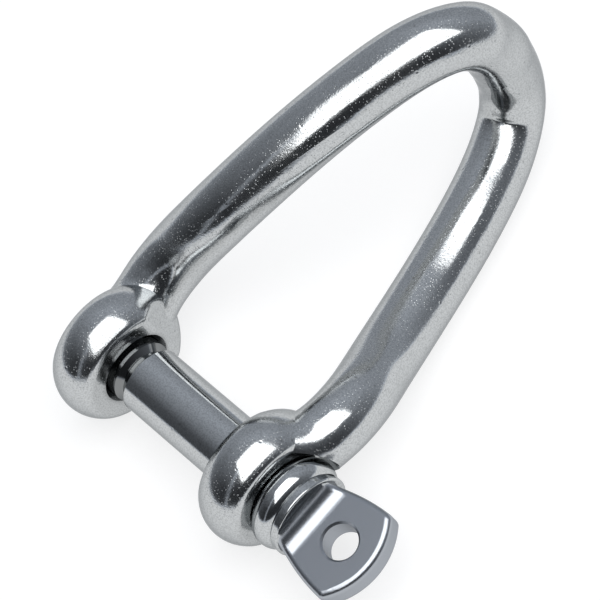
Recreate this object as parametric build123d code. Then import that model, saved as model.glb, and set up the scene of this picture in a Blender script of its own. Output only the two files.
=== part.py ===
"""Long twisted shackle with a screw pin and a flat key head.

Two separate pieces: the twisted body with its two eyes, and the pin.
Millimetres. The pin axis is X and the origin is on it, midway between the eyes.
The shackle lies at rest on a level surface: +Y points to the bow and +Z is up.
"""

from build123d import *
from math import asin, atan2, cos, degrees, hypot, pi, radians, sin, sqrt, tan
import os

# body bar
BAR_R = 4.0
BOW_THINNING = 0.13
BOW_HEIGHT = 54.1
BOW_TAPER = 10.1
NECK_FOOT = 3.0
NECK_END = 13.4
# stations of a leg: height or share of the way from neck end to bow, reach past the eye's
# middle plane, twist in degrees
NECK_STATIONS = [
    (NECK_FOOT, 0.25, 0.0),
    (9.0, 2.3, 0.0),
    (NECK_END, 1.6, 7.0),
]
LEG_STATIONS = [
    (0.096, 0.3, 20.0),
    (0.2, -0.4, 33.0),
    (0.437, -0.8, 53.0),
    (0.686, -1.1, 69.0),
    (0.816, -1.3, 79.0),
    (0.921, -2.7, 87.0),
]
BAR_SECTIONS = 24
BAR_OVERRUN = 3
# keeps the sections' direction steady over the top of the bow, where they cross the long axis
TOP_PULL = 20.0
BAR_TILT_STEPS = 200

# eyes
JAW = 18.8
EYE_THICKNESS = 6.6
EYE_R = 8.4
EYE_RIM_R = 4.5
EYE_EDGE_R = 1.2
EYE_BEVEL_HEIGHT = 4.6
PLAIN_EYE_BEVEL = 20.0
TAPPED_EYE_BEVEL = 32.0
SPOT_FACE_CLEARANCE = 0.55
NECK_TOP = 6.5
FLARE_TOP = 11.5
FLARE_MEET = 50.0
FLARE_INSET = 0.7

# shank, thread and their holes
SHANK_R = 4.1
BORE_CLEARANCE = 0.07
BORE_EDGE = 0.45
SHANK_END_GAP = 2.2
SHANK_END_EDGE = 0.35
RELIEF_DEPTH = 0.7
THREAD_START_GAP = 1.5
THREAD_PITCH = 1.25
THREAD_STEP = 0.15
THREAD_DEPTH = 0.65
THREAD_CREST_WIDTH = 0.2
THREAD_CLEARANCE = 0.08
THREAD_END_EDGE = 0.7
PIN_END_INSET = 0.2
TAP_DEPTH = 0.35
TAP_EDGE = 0.55
THREAD_OVERCUT = 0.1

# collar and flange
COLLAR_GAP = 0.15
COLLAR_R = 5.85
COLLAR_FOOT_R = 5.0
COLLAR_WIDTH = 3.2
FLANGE_R = 5.25
FLANGE_WIDTH = 1.15
FLANGE_EDGE_R = 0.25

# key head
HEAD_ROOT_R = 4.45
HEAD_R = 6.0
HEAD_LENGTH = 10.25
HEAD_DROP = 0.18
HEAD_END_R = 9.0
HEAD_SIDE_BULGE = 0.35
HEAD_CORNER_R = 0.9
KEY_THICKNESS = 3.4
KEY_EDGE_R = 0.75
SCOOP_R = 2.3
HOLE_R = 2.1
HOLE_EDGE = 0.25
HOLE_PLACE = 5.4

EYE_INNER = JAW / 2
EYE_OUTER = EYE_INNER + EYE_THICKNESS
EYE_MIDDLE = EYE_INNER + EYE_THICKNESS / 2
SPOT_FACE_R = COLLAR_R + SPOT_FACE_CLEARANCE
THREAD_CREST_R = SHANK_R - THREAD_STEP
RELIEF_R = THREAD_CREST_R - RELIEF_DEPTH
SHANK_END = EYE_INNER - SHANK_END_GAP
THREAD_START = EYE_INNER - THREAD_START_GAP
COLLAR_START = EYE_OUTER + COLLAR_GAP
FLANGE_START = COLLAR_START + COLLAR_WIDTH
HEAD_START = FLANGE_START + FLANGE_WIDTH
HEAD_END = HEAD_START + HEAD_LENGTH
PIN_END = PIN_END_INSET - EYE_OUTER


def leg_point(height, reach_past_eye, twist):
    reach = EYE_MIDDLE + reach_past_eye
    return Vector(reach * cos(radians(twist)), reach * sin(radians(twist)), height)


def bar_path():
    """Centre line from one eye, up the twisted leg, over the bow and down to the other eye."""
    leg = [leg_point(*station) for station in NECK_STATIONS]
    for share, reach_past_eye, twist in LEG_STATIONS:
        leg.append(leg_point(NECK_END + share * (BOW_HEIGHT - NECK_END), reach_past_eye, twist))
    other = [Vector(-p.X, -p.Y, p.Z) for p in reversed(leg)]
    return Spline(*leg, Vector(0, 0, BOW_HEIGHT), *other)


def eased(value, start, end):
    """0 before start, 1 after end and a smooth change between them."""
    share = min(1.0, max(0.0, (value - start) / (end - start)))
    return share * share * (3 - 2 * share)


def bar_radius(height):
    return BAR_R - BOW_THINNING * eased(height, BOW_HEIGHT - BOW_TAPER, BOW_HEIGHT)


def half_width(height):
    """Half width of a leg across the eye, flared to run into the round of the eye."""
    round_r = EYE_R - FLARE_INSET
    meet_height = round_r * sin(radians(FLARE_MEET))
    rise = round_r * cos(radians(FLARE_MEET)) - BAR_R
    power = (FLARE_TOP - meet_height) / rise * tan(radians(FLARE_MEET))
    share = max(0.0, (FLARE_TOP - height) / (FLARE_TOP - meet_height))
    if height < meet_height:
        return sqrt(round_r**2 - height**2)
    return bar_radius(height) + rise * share**power


def half_thickness(height):
    """Half thickness of a leg along the pin: the eye's own at its foot, the bar's above it."""
    radius = bar_radius(height)
    return radius - (radius - EYE_THICKNESS / 2) * (1 - eased(height, NECK_FOOT, NECK_TOP))


def bar_section(path, share):
    """Cross-section of the bar, with its long way square to the plane of the bow."""
    middle = path.position_at(share)
    forward = path.tangent_at(share)
    pull = TOP_PULL * eased(middle.Z, BOW_HEIGHT - BOW_TAPER, BOW_HEIGHT)
    outward = Vector(middle.X, middle.Y, 0) - Vector(forward.X, forward.Y, 0) * pull
    across = Vector(-outward.Y, outward.X, 0).normalized()
    across = across - forward * across.dot(forward)
    outline = Ellipse(half_width(middle.Z), half_thickness(middle.Z))
    return Plane(origin=middle, x_dir=across, z_dir=forward) * outline


def bar(path):
    """Half the bar, lofted past the top of the bow and cut there, and the same half turned round."""
    steps = [i / BAR_SECTIONS / 2 for i in range(BAR_SECTIONS + 1 + BAR_OVERRUN)]
    shares = [step / 2 + (1 - cos(pi * step)) / 4 for step in steps]
    half = loft([bar_section(path, share) for share in shares])
    top = Plane(origin=path.position_at(0.5), z_dir=path.tangent_at(0.5))
    reach = 6 * BAR_R
    half -= top * Box(reach, reach, reach, align=(Align.CENTER, Align.CENTER, Align.MIN))
    return half + Rot(Z=180) * half


def x_cylinder(radius, start, end):
    """Cylinder on the pin axis from one place along it to another."""
    return Plane.YZ.offset(start) * extrude(Circle(radius), end - start)


def x_cone(start, start_r, end, end_r):
    profile = Polyline((start, 0), (start, start_r), (end, end_r), (end, 0), close=True)
    return revolve(make_face(profile), Axis.X)


def eye(bevel_angle):
    """Flat-faced ring blank with a domed rim, bevelled where its leg sets off outwards."""
    half = EYE_THICKNESS / 2
    flat_r = EYE_R - EYE_RIM_R + sqrt(EYE_RIM_R**2 - half**2)
    rim = ThreePointArc((EYE_INNER, flat_r), (EYE_MIDDLE, EYE_R), (EYE_OUTER, flat_r))
    sides = Polyline((EYE_OUTER, flat_r), (EYE_OUTER, 0), (EYE_INNER, 0), (EYE_INNER, flat_r))
    blank = revolve(make_face([rim, sides]), Axis.X)
    bevel = Box(EYE_R, 3 * EYE_R, 3 * EYE_R, align=(Align.MAX, Align.CENTER, Align.MIN))
    blank -= Pos(EYE_INNER, 0, EYE_BEVEL_HEIGHT) * Rot(Y=bevel_angle) * bevel
    corners = [e for e in blank.edges() if abs(e.center().X - EYE_MIDDLE) > 0.01]
    return fillet(corners, EYE_EDGE_R)


def helix_groove(start, end, radius, depth, outward):
    """Screw-thread groove cut inwards from a shaft or outwards from a hole."""
    path = Helix(THREAD_PITCH, end - start, radius, center=(start, 0, 0), direction=(1, 0, 0))
    way = 1 if outward else -1
    half_mouth = (THREAD_PITCH - THREAD_CREST_WIDTH) / 2
    mouth = THREAD_OVERCUT
    shape = Polygon(
        (-way * mouth, -half_mouth),
        (-way * mouth, half_mouth),
        (way * depth, THREAD_CREST_WIDTH / 2),
        (way * depth, -THREAD_CREST_WIDTH / 2),
        align=None,
    )
    begin = path.position_at(0)
    away = Vector(0, begin.Y, begin.Z).normalized()
    profile = Plane(origin=begin, x_dir=away, z_dir=Vector(1, 0, 0).cross(away) * -1) * shape
    return sweep(profile, path=path, is_frenet=True)


def body():
    """Twisted bar with a flat-faced eye on each end: a plain bore at +X and a tapped one at -X."""
    blank = bar(bar_path())
    blank += eye(PLAIN_EYE_BEVEL)
    blank += Rot(Z=180) * eye(TAPPED_EYE_BEVEL)
    blank -= x_cylinder(SPOT_FACE_R, EYE_OUTER, EYE_OUTER + EYE_THICKNESS)
    bore_r = SHANK_R + BORE_CLEARANCE
    blank -= x_cylinder(bore_r, 0, EYE_OUTER + BAR_R)
    for face, way in ((EYE_INNER, 1), (EYE_OUTER, -1)):
        blank -= x_cone(face, bore_r + BORE_EDGE, face + way * BORE_EDGE, bore_r)
    tap_r = THREAD_CREST_R + THREAD_CLEARANCE
    blank -= x_cylinder(tap_r, -EYE_OUTER - BAR_R, 0)
    for face, way in ((EYE_INNER, 1), (EYE_OUTER, -1)):
        blank -= x_cone(-face, tap_r + TAP_EDGE, -face - way * TAP_EDGE, tap_r)
    return blank - helix_groove(-EYE_OUTER - 1, -EYE_INNER + 1, tap_r, TAP_DEPTH, True)


def pin_stock():
    """Turned part of the pin: thread blank, relief, shank, rounded collar and flange."""
    lower = Polyline(
        (PIN_END, 0),
        (PIN_END, THREAD_CREST_R - THREAD_END_EDGE),
        (PIN_END + THREAD_END_EDGE, THREAD_CREST_R),
        (-THREAD_START - THREAD_END_EDGE, THREAD_CREST_R),
        (-THREAD_START, RELIEF_R),
        (-SHANK_END, RELIEF_R),
        (-SHANK_END, SHANK_R - SHANK_END_EDGE),
        (-SHANK_END + SHANK_END_EDGE, SHANK_R),
        (COLLAR_START, SHANK_R),
        (COLLAR_START, COLLAR_FOOT_R),
    )
    collar = ThreePointArc(
        (COLLAR_START, COLLAR_FOOT_R),
        (COLLAR_START + COLLAR_WIDTH / 2, COLLAR_R),
        (FLANGE_START, COLLAR_FOOT_R),
    )
    upper = Polyline(
        (FLANGE_START, COLLAR_FOOT_R), (FLANGE_START, 0), (PIN_END, 0)
    )
    return revolve(make_face([lower, collar, upper]), Axis.X)


def flange():
    ring = x_cylinder(FLANGE_R, FLANGE_START, HEAD_START)
    return fillet(ring.edges().filter_by(GeomType.CIRCLE), FLANGE_EDGE_R)


def both_sides(curves, start):
    """Closed face from half an outline and its mirror image across the pin axis."""
    half = Curve() + curves
    return make_face(half + mirror(half, Plane.XZ) + [Line((start[0], -start[1]), start)])


def head():
    """Flat key with a rounded end, run out to the flange by a scoop on each face."""
    corner = (HEAD_END - HEAD_END_R + sqrt(HEAD_END_R**2 - HEAD_R**2), HEAD_R)
    root = (HEAD_START, HEAD_ROOT_R)
    side = SagittaArc(root, corner, HEAD_SIDE_BULGE)
    end = RadiusArc(corner, (HEAD_END, 0), HEAD_END_R)
    outline = both_sides([side, end], root)
    outline = fillet([v for v in outline.vertices() if v.X > corner[0] - HEAD_CORNER_R], HEAD_CORNER_R)
    half = KEY_THICKNESS / 2
    scoop_top = (HEAD_START, half + SCOOP_R)
    flat_start = (HEAD_START + SCOOP_R, half)
    scoop = RadiusArc(scoop_top, flat_start, -SCOOP_R)
    flat = Polyline(flat_start, (HEAD_END, half), (HEAD_END, 0))
    profile = both_sides([scoop, flat], scoop_top)
    blank = Rot(X=90) * extrude(outline, HEAD_R, both=True)
    key = blank & extrude(profile, HEAD_R, both=True)
    rounded = [e for e in key.edges() if on_key_edge(e.center())]
    key = Pos(Z=-HEAD_DROP) * fillet(rounded, KEY_EDGE_R)
    hole_middle = HEAD_START + HOLE_PLACE
    key -= Pos(hole_middle, 0, 0) * Rot(X=90) * Cylinder(HOLE_R, 2 * KEY_THICKNESS)
    rims = [e for e in key.edges().filter_by(GeomType.CIRCLE) if abs(e.radius - HOLE_R) < 1e-6]
    return chamfer(rims, HOLE_EDGE)


def on_key_edge(place):
    """True for the edges along the two faces of the key, but not for those across it."""
    along_face = abs(place.Y) > KEY_THICKNESS / 4
    across = abs(place.Z) < HEAD_ROOT_R / 2 and place.X < HEAD_START + 2 * SCOOP_R
    return along_face and not across


def pin():
    groove = helix_groove(PIN_END - 1, -THREAD_START, THREAD_CREST_R, THREAD_DEPTH, False)
    return pin_stock() - groove + flange() + head()


def rest_tilt():
    """Lift of the bow above the pin axis when both eyes and one leg touch the ground, in degrees."""
    path = bar_path()
    points = [path.position_at(i / BAR_TILT_STEPS) for i in range(BAR_TILT_STEPS + 1)]
    clear = [p for p in points if p.Z > EYE_R]
    return degrees(max(atan2(p.Y, p.Z) - asin((EYE_R - BAR_R) / hypot(p.Y, p.Z)) for p in clear))


lie_down = Rot(X=rest_tilt() - 90)
parts = {"shackle_body": body(), "screw_pin": pin()}

os.makedirs("parts", exist_ok=True)
for name, shape in parts.items():
    export_step(lie_down * shape.solid(), f"parts/{name}.step")
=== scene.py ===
"""Looks, light and camera for the twisted shackle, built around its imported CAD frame."""
from math import cos, radians, sin

import bpy
from mathutils import Matrix, Vector


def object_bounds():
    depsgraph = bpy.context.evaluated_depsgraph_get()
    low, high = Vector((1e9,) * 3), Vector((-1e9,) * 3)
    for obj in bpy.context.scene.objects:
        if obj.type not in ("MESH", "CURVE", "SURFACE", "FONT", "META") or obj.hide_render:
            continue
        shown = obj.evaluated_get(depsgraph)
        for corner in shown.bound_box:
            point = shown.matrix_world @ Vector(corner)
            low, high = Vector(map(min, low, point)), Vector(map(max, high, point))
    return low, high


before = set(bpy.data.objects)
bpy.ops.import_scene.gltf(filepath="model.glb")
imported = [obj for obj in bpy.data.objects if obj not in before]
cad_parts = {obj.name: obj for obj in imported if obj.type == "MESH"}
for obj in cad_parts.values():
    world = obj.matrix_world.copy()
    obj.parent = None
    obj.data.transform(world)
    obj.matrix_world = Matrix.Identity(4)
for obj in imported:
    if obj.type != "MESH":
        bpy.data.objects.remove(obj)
cad_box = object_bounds()

# camera, as seen in the product view
CAMERA_AZIMUTH = -21.9
CAMERA_ELEVATION = 57.3
CAMERA_ROLL = 25.5
CAMERA_DISTANCE = 0.3841
CAMERA_TARGET = (0.0006, 0.0179, 0.0021)
CAMERA_LENS = 202.1
CAMERA_CLIP = 0.01
SENSOR = 36.0

# floor
FLOOR_SIZE = 3.0
FLOOR_COLOR = (0.33, 0.33, 0.33)
FLOOR_ROUGHNESS = 0.9
FLOOR_GLOW = 0.72

# room: dark, paler towards one side, overhead and in one upright strip, and pale below the horizon
ROOM_COLOR = (0.88, 0.94, 1.04)
ROOM_DARK = 0.04
ROOM_PALE = 0.45
ROOM_PALE_AZIMUTH = 125.0
ROOM_PALE_REACH = 0.6
ROOM_PALE_POWER = 2.0
ROOM_TOP = 0.16
ROOM_TOP_START = 0.45
ROOM_TOP_FULL = 0.95
ROOM_BELOW = 0.9
HORIZON_START = -0.02
HORIZON_END = 0.09
STRIP_AZIMUTH = 281.0
STRIP_LIGHT = 0.36
STRIP_FULL_WITHIN = 0.03
STRIP_NONE_BEYOND = 0.1
STRIP_NONE_BEHIND = 0.2
STRIP_FULL_AHEAD = 0.4

# softbox over the object
SOFTBOX_CENTRE = (0.063, 0.0, 0.685)
SOFTBOX_SIZE = (0.8, 0.7)
SOFTBOX_TILT = 46.0
SOFTBOX_POWER = 4.9

# polished steel
STEEL = (0.535, 0.55, 0.555)
STEEL_EDGE = (0.52, 0.53, 0.54)
BODY_ROUGHNESS = 0.12
BODY_PATCH_ROUGHNESS = 1.5 * BODY_ROUGHNESS
PIN_ROUGHNESS = 0.1
KEY_ROUGHNESS = 0.27

# relief and mottling of the steel; scales are per metre and depths in metres
PEEL_SCALE = 1500.0
PEEL_DETAIL = 1.0
GRAIN_SCALE = 4200.0
GRAIN_DETAIL = 3.0
PATCH_SCALE = 160.0
PATCH_DETAIL = 2.0
PATCH_LOW = 0.35
PATCH_HIGH = 0.65
PATCH_LEAST = 0.3
PIT_SCALE = 520.0
PIT_SIZE = 0.13
# PIT_SHADE darkens the colour inside the pits: painted shade
PIT_SHADE = 0.6
SPECK_SCALE = 3300.0
SPECK_SIZE = 0.26
MOTTLE_SCALE = 5200.0
MOTTLE_DETAIL = 2.0
MOTTLE_LOW = 0.35
MOTTLE_HIGH = 0.6
MOTTLE_SHADE = 0.8
BODY_PEEL_DEPTH = 4e-6
BODY_GRAIN_DEPTH = 1.2e-5
BODY_PIT_DEPTH = 1.8e-5
BODY_SPECK_DEPTH = 1.9e-5
PIN_PEEL_DEPTH = 1.5e-6
PIN_GRAIN_DEPTH = 4e-6
PIN_PIT_DEPTH = 6e-6
PIN_SPECK_DEPTH = 3e-6

# painted shade in the body's bore and tapped hole: the colour is fully darkened up to one distance from
# the pin axis and not darkened at all beyond the other
HOLLOW_FULL_WITHIN = 0.0040
HOLLOW_NONE_BEYOND = 0.0052
HOLLOW_PAINTED_SHADE = 0.4

# places along the pin axis, in metres, where the threaded end stops and the key head starts
THREAD_STOP = -0.0070
THREAD_FADE = 0.0002
KEY_START = 0.0206
KEY_FADE = 0.0001
KEY_TINT = (0.39, 0.41, 0.44)


def new_material(name):
    material = bpy.data.materials.new(name)
    material.use_nodes = True
    return material, material.node_tree.nodes, material.node_tree.links


def noise(nodes, links, place, scale, detail):
    texture = nodes.new("ShaderNodeTexNoise")
    texture.inputs["Scale"].default_value = scale
    texture.inputs["Detail"].default_value = detail
    links.new(place.outputs["Object"], texture.inputs["Vector"])
    return texture.outputs["Fac"]


def remap(nodes, links, value, low, high, to_low, to_high):
    ramp = nodes.new("ShaderNodeMapRange")
    ramp.interpolation_type = "SMOOTHSTEP"
    ramp.inputs["From Min"].default_value = low
    ramp.inputs["From Max"].default_value = high
    ramp.inputs["To Min"].default_value = to_low
    ramp.inputs["To Max"].default_value = to_high
    links.new(value, ramp.inputs["Value"])
    return ramp.outputs["Result"]


def combine(nodes, links, operation, first, second=0.0):
    node = nodes.new("ShaderNodeMath")
    node.operation = operation
    links.new(first, node.inputs[0])
    if isinstance(second, float):
        node.inputs[1].default_value = second
    else:
        links.new(second, node.inputs[1])
    return node.outputs[0]


def step_at(nodes, links, value, place, fade):
    """0 below a place and 1 above it, with a short fade to each side."""
    return remap(nodes, links, value, place - fade, place + fade, 0.0, 1.0)


def pits(nodes, links, place, scale, size):
    """Scattered round pits: 0 at the middle of each and 1 outside them."""
    cells = nodes.new("ShaderNodeTexVoronoi")
    cells.inputs["Scale"].default_value = scale
    links.new(place.outputs["Object"], cells.inputs["Vector"])
    return remap(nodes, links, cells.outputs["Distance"], 0.0, size, 0.0, 1.0)


def bump(nodes, links, height, depth, under=None):
    node = nodes.new("ShaderNodeBump")
    node.inputs["Strength"].default_value = 1.0
    node.inputs["Distance"].default_value = depth
    links.new(height, node.inputs["Height"])
    if under:
        links.new(under, node.inputs["Normal"])
    return node.outputs["Normal"]


def mix_colors(nodes, links, share, first, second):
    """Colour between two, each given as a plain colour or as the output of another node."""
    node = nodes.new("ShaderNodeMix")
    node.data_type = "RGBA"
    links.new(share, node.inputs[0])
    for socket, color in ((node.inputs[6], first), (node.inputs[7], second)):
        if isinstance(color, tuple):
            socket.default_value = (*color, 1.0)
        else:
            links.new(color, socket)
    return node.outputs[2]


def darker(color, share):
    return tuple(share * part for part in color)


def steel_base(name, peel_depth, grain_depth, pit_depth, speck_depth):
    """Polished stainless steel relief: soft orange peel, grain in patches and scattered pits."""
    material, nodes, links = new_material(name)
    shader = nodes["Principled BSDF"]
    shader.inputs["Metallic"].default_value = 1.0
    shader.inputs["Specular Tint"].default_value = (*STEEL_EDGE, 1.0)
    place = nodes.new("ShaderNodeTexCoord")
    peel = noise(nodes, links, place, PEEL_SCALE, PEEL_DETAIL)
    patch = noise(nodes, links, place, PATCH_SCALE, PATCH_DETAIL)
    patch = remap(nodes, links, patch, PATCH_LOW, PATCH_HIGH, PATCH_LEAST, 1.0)
    grain = noise(nodes, links, place, GRAIN_SCALE, GRAIN_DETAIL)
    grain = combine(nodes, links, "MULTIPLY", grain, patch)
    pit = pits(nodes, links, place, PIT_SCALE, PIT_SIZE)
    speck = pits(nodes, links, place, SPECK_SCALE, SPECK_SIZE)
    normal = bump(nodes, links, peel, peel_depth)
    normal = bump(nodes, links, grain, grain_depth, normal)
    normal = bump(nodes, links, pit, pit_depth, normal)
    normal = bump(nodes, links, speck, speck_depth, normal)
    links.new(normal, shader.inputs["Normal"])
    mottle = noise(nodes, links, place, MOTTLE_SCALE, MOTTLE_DETAIL)
    mottle = remap(nodes, links, mottle, MOTTLE_LOW, MOTTLE_HIGH, 0.0, 1.0)
    mottled = mix_colors(nodes, links, mottle, darker(STEEL, MOTTLE_SHADE), STEEL)
    # painted shade inside the pits
    pit_shaded = mix_colors(nodes, links, pit, darker(STEEL, PIT_SHADE), mottled)
    split = nodes.new("ShaderNodeSeparateXYZ")
    links.new(place.outputs["Object"], split.inputs[0])
    return material, nodes, links, shader, split, patch, pit_shaded


def body_steel():
    """Body steel, with painted shade inside the bore and the tapped hole."""
    material, nodes, links, shader, split, patch, pit_shaded = steel_base(
        "body_steel", BODY_PEEL_DEPTH, BODY_GRAIN_DEPTH, BODY_PIT_DEPTH, BODY_SPECK_DEPTH
    )
    across, up = split.outputs["Y"], split.outputs["Z"]
    across_squared = combine(nodes, links, "MULTIPLY", across, across)
    up_squared = combine(nodes, links, "MULTIPLY", up, up)
    from_pin_axis = combine(nodes, links, "ADD", across_squared, up_squared)
    from_pin_axis = combine(nodes, links, "SQRT", from_pin_axis)
    hollow = remap(nodes, links, from_pin_axis, HOLLOW_FULL_WITHIN, HOLLOW_NONE_BEYOND, 0.0, 1.0)
    # painted shade inside the bore and the tapped hole, fading out away from the pin axis
    color = mix_colors(nodes, links, hollow, darker(STEEL, HOLLOW_PAINTED_SHADE), pit_shaded)
    links.new(color, shader.inputs["Base Color"])
    rough = remap(nodes, links, patch, PATCH_LEAST, 1.0, BODY_ROUGHNESS, BODY_PATCH_ROUGHNESS)
    links.new(rough, shader.inputs["Roughness"])
    return material


def pin_steel():
    """Pin steel: bright shank and collar, painted shade over the threaded end, satin bluish key."""
    material, nodes, links, shader, split, _, pit_shaded = steel_base(
        "pin_steel", PIN_PEEL_DEPTH, PIN_GRAIN_DEPTH, PIN_PIT_DEPTH, PIN_SPECK_DEPTH
    )
    along = split.outputs["X"]
    off_thread = step_at(nodes, links, along, THREAD_STOP, THREAD_FADE)
    on_key = step_at(nodes, links, along, KEY_START, KEY_FADE)
    # painted shade over the pin's threaded end, where it sits in the tapped hole, darkened like the
    # body's hollows
    thread_shaded = mix_colors(nodes, links, off_thread, darker(STEEL, HOLLOW_PAINTED_SHADE), pit_shaded)
    links.new(mix_colors(nodes, links, on_key, thread_shaded, KEY_TINT), shader.inputs["Base Color"])
    rough = remap(nodes, links, on_key, 0.0, 1.0, PIN_ROUGHNESS, KEY_ROUGHNESS)
    links.new(rough, shader.inputs["Roughness"])
    return material


def give_material(node, material):
    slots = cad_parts[node].data.materials
    slots.clear()
    slots.append(material)


def make_floor():
    bpy.ops.mesh.primitive_plane_add(size=FLOOR_SIZE, location=(0, 0, cad_box[0][2]))
    floor = bpy.context.object
    floor.name = "floor"
    material, nodes, links = new_material("floor_paper")
    shader = nodes["Principled BSDF"]
    shader.inputs["Base Color"].default_value = (*FLOOR_COLOR, 1.0)
    shader.inputs["Roughness"].default_value = FLOOR_ROUGHNESS
    shader.inputs["Emission Color"].default_value = (1.0, 1.0, 1.0, 1.0)
    shader.inputs["Emission Strength"].default_value = FLOOR_GLOW
    floor.data.materials.append(material)


def towards(nodes, links, place, azimuth):
    """How far a world direction points towards a level azimuth, from -1 to 1."""
    node = nodes.new("ShaderNodeVectorMath")
    node.operation = "DOT_PRODUCT"
    node.inputs[1].default_value = (cos(radians(azimuth)), sin(radians(azimuth)), 0.0)
    links.new(place.outputs["Generated"], node.inputs[0])
    return node.outputs["Value"]


def make_room():
    """World light: pale below the horizon, dark above it, paler on one side, overhead and in a strip."""
    world = bpy.data.worlds.new("room")
    bpy.context.scene.world = world
    world.use_nodes = True
    nodes, links = world.node_tree.nodes, world.node_tree.links
    back = nodes["Background"]
    back.inputs["Color"].default_value = (*ROOM_COLOR, 1.0)
    place = nodes.new("ShaderNodeTexCoord")
    split = nodes.new("ShaderNodeSeparateXYZ")
    links.new(place.outputs["Generated"], split.inputs[0])
    reach = nodes.new("ShaderNodeMapRange")
    reach.inputs["From Min"].default_value = -1.0
    reach.inputs["From Max"].default_value = ROOM_PALE_REACH
    links.new(towards(nodes, links, place, ROOM_PALE_AZIMUTH), reach.inputs["Value"])
    glow = combine(nodes, links, "POWER", reach.outputs["Result"], ROOM_PALE_POWER)
    glow = combine(nodes, links, "MULTIPLY", glow, ROOM_PALE - ROOM_DARK)
    glow = combine(nodes, links, "ADD", glow, ROOM_DARK)
    overhead = remap(nodes, links, split.outputs["Z"], ROOM_TOP_START, ROOM_TOP_FULL, 0.0, ROOM_TOP)
    glow = combine(nodes, links, "ADD", glow, overhead)
    beside = towards(nodes, links, place, STRIP_AZIMUTH + 90)
    beside = combine(nodes, links, "ABSOLUTE", beside)
    beside = remap(nodes, links, beside, STRIP_FULL_WITHIN, STRIP_NONE_BEYOND, STRIP_LIGHT, 0.0)
    ahead = towards(nodes, links, place, STRIP_AZIMUTH)
    ahead = remap(nodes, links, ahead, STRIP_NONE_BEHIND, STRIP_FULL_AHEAD, 0.0, 1.0)
    strip = combine(nodes, links, "MULTIPLY", beside, ahead)
    shade = combine(nodes, links, "ADD", glow, strip)
    above = remap(nodes, links, split.outputs["Z"], HORIZON_START, HORIZON_END, 0.0, 1.0)
    mix = nodes.new("ShaderNodeMix")
    mix.data_type = "FLOAT"
    mix.inputs[2].default_value = ROOM_BELOW
    links.new(above, mix.inputs[0])
    links.new(shade, mix.inputs[3])
    links.new(mix.outputs[0], back.inputs["Strength"])


def make_softbox():
    light = bpy.data.lights.new("softbox", "AREA")
    light.shape = "RECTANGLE"
    light.size, light.size_y = SOFTBOX_SIZE
    light.energy = SOFTBOX_POWER
    softbox = bpy.data.objects.new("softbox", light)
    softbox.location = SOFTBOX_CENTRE
    softbox.rotation_euler = (0.0, radians(SOFTBOX_TILT), 0.0)
    bpy.context.scene.collection.objects.link(softbox)


def make_camera():
    camera = bpy.data.objects.new("camera", bpy.data.cameras.new("camera"))
    camera.data.sensor_width = SENSOR
    camera.data.lens = CAMERA_LENS
    camera.data.clip_start = CAMERA_CLIP
    azimuth, elevation = radians(CAMERA_AZIMUTH), radians(CAMERA_ELEVATION)
    back = Vector((cos(elevation) * cos(azimuth), cos(elevation) * sin(azimuth), sin(elevation)))
    level_right = Vector((0, 0, 1)).cross(back).normalized()
    level_up = back.cross(level_right)
    roll = radians(CAMERA_ROLL)
    up = level_up * cos(roll) + level_right * sin(roll)
    right = up.cross(back)
    place = Matrix.Translation(Vector(CAMERA_TARGET) + back * CAMERA_DISTANCE)
    turn = Matrix((right, up, back)).transposed().to_4x4()
    camera.matrix_world = place @ turn
    bpy.context.scene.collection.objects.link(camera)
    bpy.context.scene.camera = camera


give_material("shackle_body", body_steel())
give_material("screw_pin", pin_steel())
make_floor()
make_room()
make_softbox()
make_camera()

bpy.context.scene.view_settings.view_transform = "Standard"
